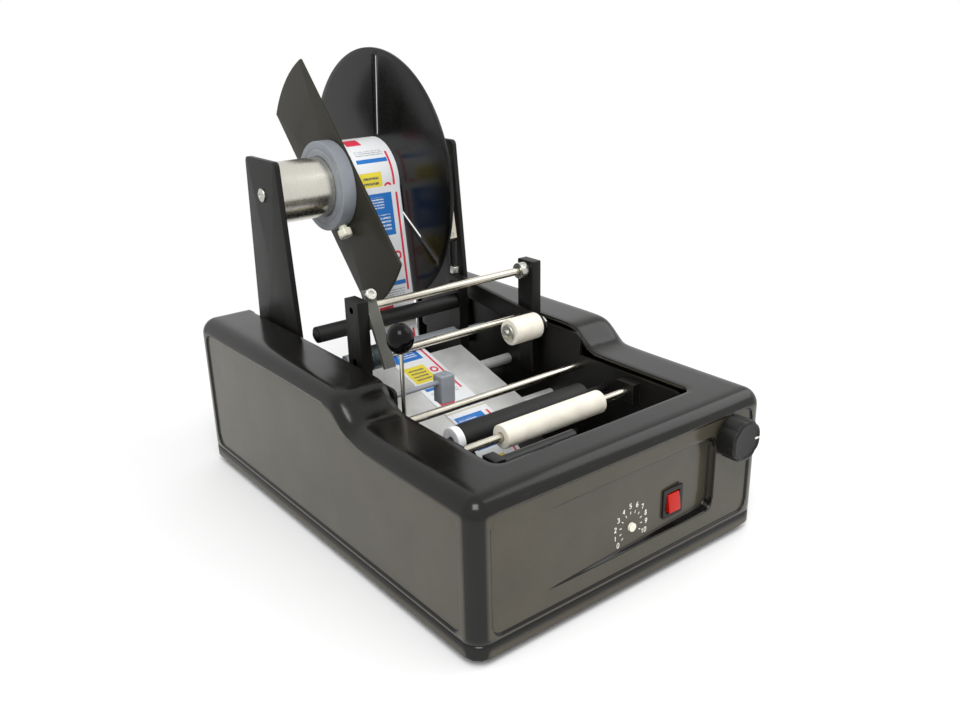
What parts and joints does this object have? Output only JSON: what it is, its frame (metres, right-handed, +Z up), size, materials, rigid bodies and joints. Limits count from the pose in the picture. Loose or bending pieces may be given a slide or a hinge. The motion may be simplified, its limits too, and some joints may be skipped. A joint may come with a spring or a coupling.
{
  "type": "wrap-around bottle labeler",
  "caption": "Bench machine that rolls a bottle under a spring-pressed roller while a peel bed feeds it a label from an overhead reel.",
  "frame": {"origin": "centre of the overall box on the plane that the feet stand on", "axes": "+X to the right of a person who faces the controls, +Y from the controls to the reel, +Z up"},
  "size_m": [0.35, 0.5882, 0.4496],
  "materials": {
    "black_abs": "glossy",
    "black_steel": "satin",
    "grey_steel": "satin",
    "bright_steel": "satin",
    "steel": "polished",
    "dark_steel": "satin",
    "zinc_steel": "bright",
    "aluminium": "satin",
    "grey_pvc": "satin",
    "black_acrylic": "satin",
    "gloss_acrylic": "glossy",
    "cream_nylon": "semi-gloss",
    "white_nylon": "semi-gloss",
    "cream_rubber": "matt",
    "cream_strap": "matt",
    "black_rubber": "matt",
    "grey_rubber": "matt",
    "label_paper": "smooth paper",
    "green_black": "satin",
    "gloss_black": "polished",
    "matte_black": "satin",
    "red_plastic": "glossy",
    "board_green": "satin"
  },
  "bodies": {
    "machine": {"top_shell": "black_abs", "base_plate": "black_steel", "front_left_foot": "grey_rubber", "front_right_foot": "grey_rubber", "rear_left_foot": "grey_rubber", "rear_right_foot": "grey_rubber", "chassis_plate_left": "black_steel", "chassis_plate_right": "black_steel", "front_cross_bar": "zinc_steel", "bracket_cross_bar": "zinc_steel", "left_post": "black_steel", "right_post": "black_steel", "left_upright": "black_steel", "right_upright": "black_steel", "reel_axle": "steel", "top_guide_rod": "steel", "arm_pivot_rod": "steel", "rod_collar": "zinc_steel", "pivot_knob": "green_black", "idler_bracket": "black_steel", "label_web": "label_paper", "web_bed": "bright_steel", "front_guide_bar": "dark_steel", "label_sensor": "grey_pvc", "timing_belt": "black_rubber", "gear_motor": "aluminium", "control_board": "board_green", "rocker_bezel": "matte_black", "timer_body": "zinc_steel", "speed_control_body": "zinc_steel", "power_inlet": "matte_black", "brake_strap": "cream_strap", "brake_spring": "dark_steel"},
    "reel": {"spindle_tube": "aluminium", "label_roll": "label_paper", "inner_flange_disc": "gloss_acrylic", "brake_drum": "aluminium"},
    "hub": {"core_hub": "grey_pvc", "outer_guide_strip": "black_acrylic"},
    "thumb_screw": {"thumb_screw": "cream_nylon"},
    "pressure_arm": {"pressure_arm": "black_steel", "brake_anchor_nut": "zinc_steel", "pressure_roller_bolt": "steel"},
    "pressure_roller": {"pressure_roller": "cream_rubber"},
    "stop_arm": {"stop_arm": "grey_steel", "stop_arm_screw": "zinc_steel"},
    "rear_idler": {"rear_idler_roller": "black_rubber"},
    "guide_roller": {"lower_guide_roller": "grey_pvc"},
    "pull_roller": {"liner_pull_roller": "black_rubber"},
    "pinch_roller": {"pinch_roller": "grey_pvc"},
    "drive_roller": {"drive_roller": "cream_rubber", "drive_shaft": "steel"},
    "rest_roller": {"rest_roller": "black_rubber", "nylon_ring": "white_nylon"},
    "motor_pulley": {"motor_pulley": "aluminium"},
    "lever": {"lever_shaft": "steel", "lever_ball": "gloss_black"},
    "rocker": {"rocker_paddle": "red_plastic"},
    "timer": {"timer_shaft": "cream_nylon"},
    "speed": {"speed_knob": "matte_black"}
  },
  "joints": [
    {"name": "reel_turn", "type": "hinge", "parent": "machine", "child": "reel", "pos_m": [0, 0.1541, 0.3096], "axis": [1, 0, 0], "continuous": true},
    {"name": "hub_slide", "type": "slide", "parent": "reel", "child": "hub", "axis": [1, 0, 0], "range_m": [-0.055, 0]},
    {"name": "thumb_screw_turn", "type": "hinge", "parent": "hub", "child": "thumb_screw", "pos_m": [-0.037, 0.1541, 0.3096], "axis": [0, -0.5519, -0.8339], "range_deg": [0, 180]},
    {"name": "pressure_arm_lift", "type": "hinge", "parent": "machine", "child": "pressure_arm", "pos_m": [0.098, -0.0129, 0.1716], "axis": [-1, 0, 0], "range_deg": [0, 14], "stiffness_Nm_per_rad": 1.5, "springref_deg": -8.59, "deforming": ["brake_spring"]},
    {"name": "pressure_roller_spin", "type": "hinge", "parent": "pressure_arm", "child": "pressure_roller", "pos_m": [0.07, -0.0379, 0.1686], "axis": [1, 0, 0], "continuous": true},
    {"name": "stop_arm_swing", "type": "hinge", "parent": "machine", "child": "stop_arm", "pos_m": [-0.083, -0.0129, 0.2236], "axis": [1, 0, 0], "range_deg": [-25, 16]},
    {"name": "rear_idler_spin", "type": "hinge", "parent": "machine", "child": "rear_idler", "pos_m": [0, 0.0801, 0.1726], "axis": [1, 0, 0], "continuous": true},
    {"name": "guide_roller_spin", "type": "hinge", "parent": "machine", "child": "guide_roller", "pos_m": [0, 0.0761, 0.13629], "axis": [1, 0, 0], "continuous": true},
    {"name": "drive_roller_spin", "type": "hinge", "parent": "machine", "child": "drive_roller", "pos_m": [0, -0.1609, 0.1276], "axis": [1, 0, 0], "continuous": true},
    {"name": "pull_roller_spin", "type": "hinge", "parent": "machine", "child": "pull_roller", "pos_m": [0, -0.0819, 0.0526], "axis": [1, 0, 0], "continuous": true},
    {"name": "motor_spin", "type": "hinge", "parent": "machine", "child": "motor_pulley", "pos_m": [0.115, -0.1659, 0.0526], "axis": [1, 0, 0], "continuous": true},
    {"name": "pinch_roller_spin", "type": "hinge", "parent": "machine", "child": "pinch_roller", "pos_m": [0, -0.1081, 0.0526], "axis": [1, 0, 0], "continuous": true},
    {"name": "rest_roller_spin", "type": "hinge", "parent": "machine", "child": "rest_roller", "pos_m": [0, -0.1239, 0.1186], "axis": [1, 0, 0], "continuous": true},
    {"name": "lever_turn", "type": "hinge", "parent": "machine", "child": "lever", "pos_m": [-0.109, -0.0879, 0.1326], "axis": [1, 0, 0], "range_deg": [-12, 35]},
    {"name": "rocker_tilt", "type": "hinge", "parent": "machine", "child": "rocker", "pos_m": [0.0575, -0.26311, 0.0671], "axis": [1, 0, 0], "range_deg": [0, 14]},
    {"name": "timer_turn", "type": "hinge", "parent": "machine", "child": "timer", "pos_m": [0.003, -0.2639, 0.0621], "axis": [0, -1, 0], "range_deg": [-150, 150]},
    {"name": "speed_turn", "type": "hinge", "parent": "machine", "child": "speed", "pos_m": [0.125, -0.2839, 0.1146], "axis": [0, -1, 0], "range_deg": [-45, 225]}
  ],
  "couplings": [
    {"joint": "pull_roller_spin", "follows": "drive_roller_spin", "ratio": 1},
    {"joint": "motor_spin", "follows": "drive_roller_spin", "ratio": 1},
    {"joint": "pinch_roller_spin", "follows": "drive_roller_spin", "ratio": -1.5}
  ]
}
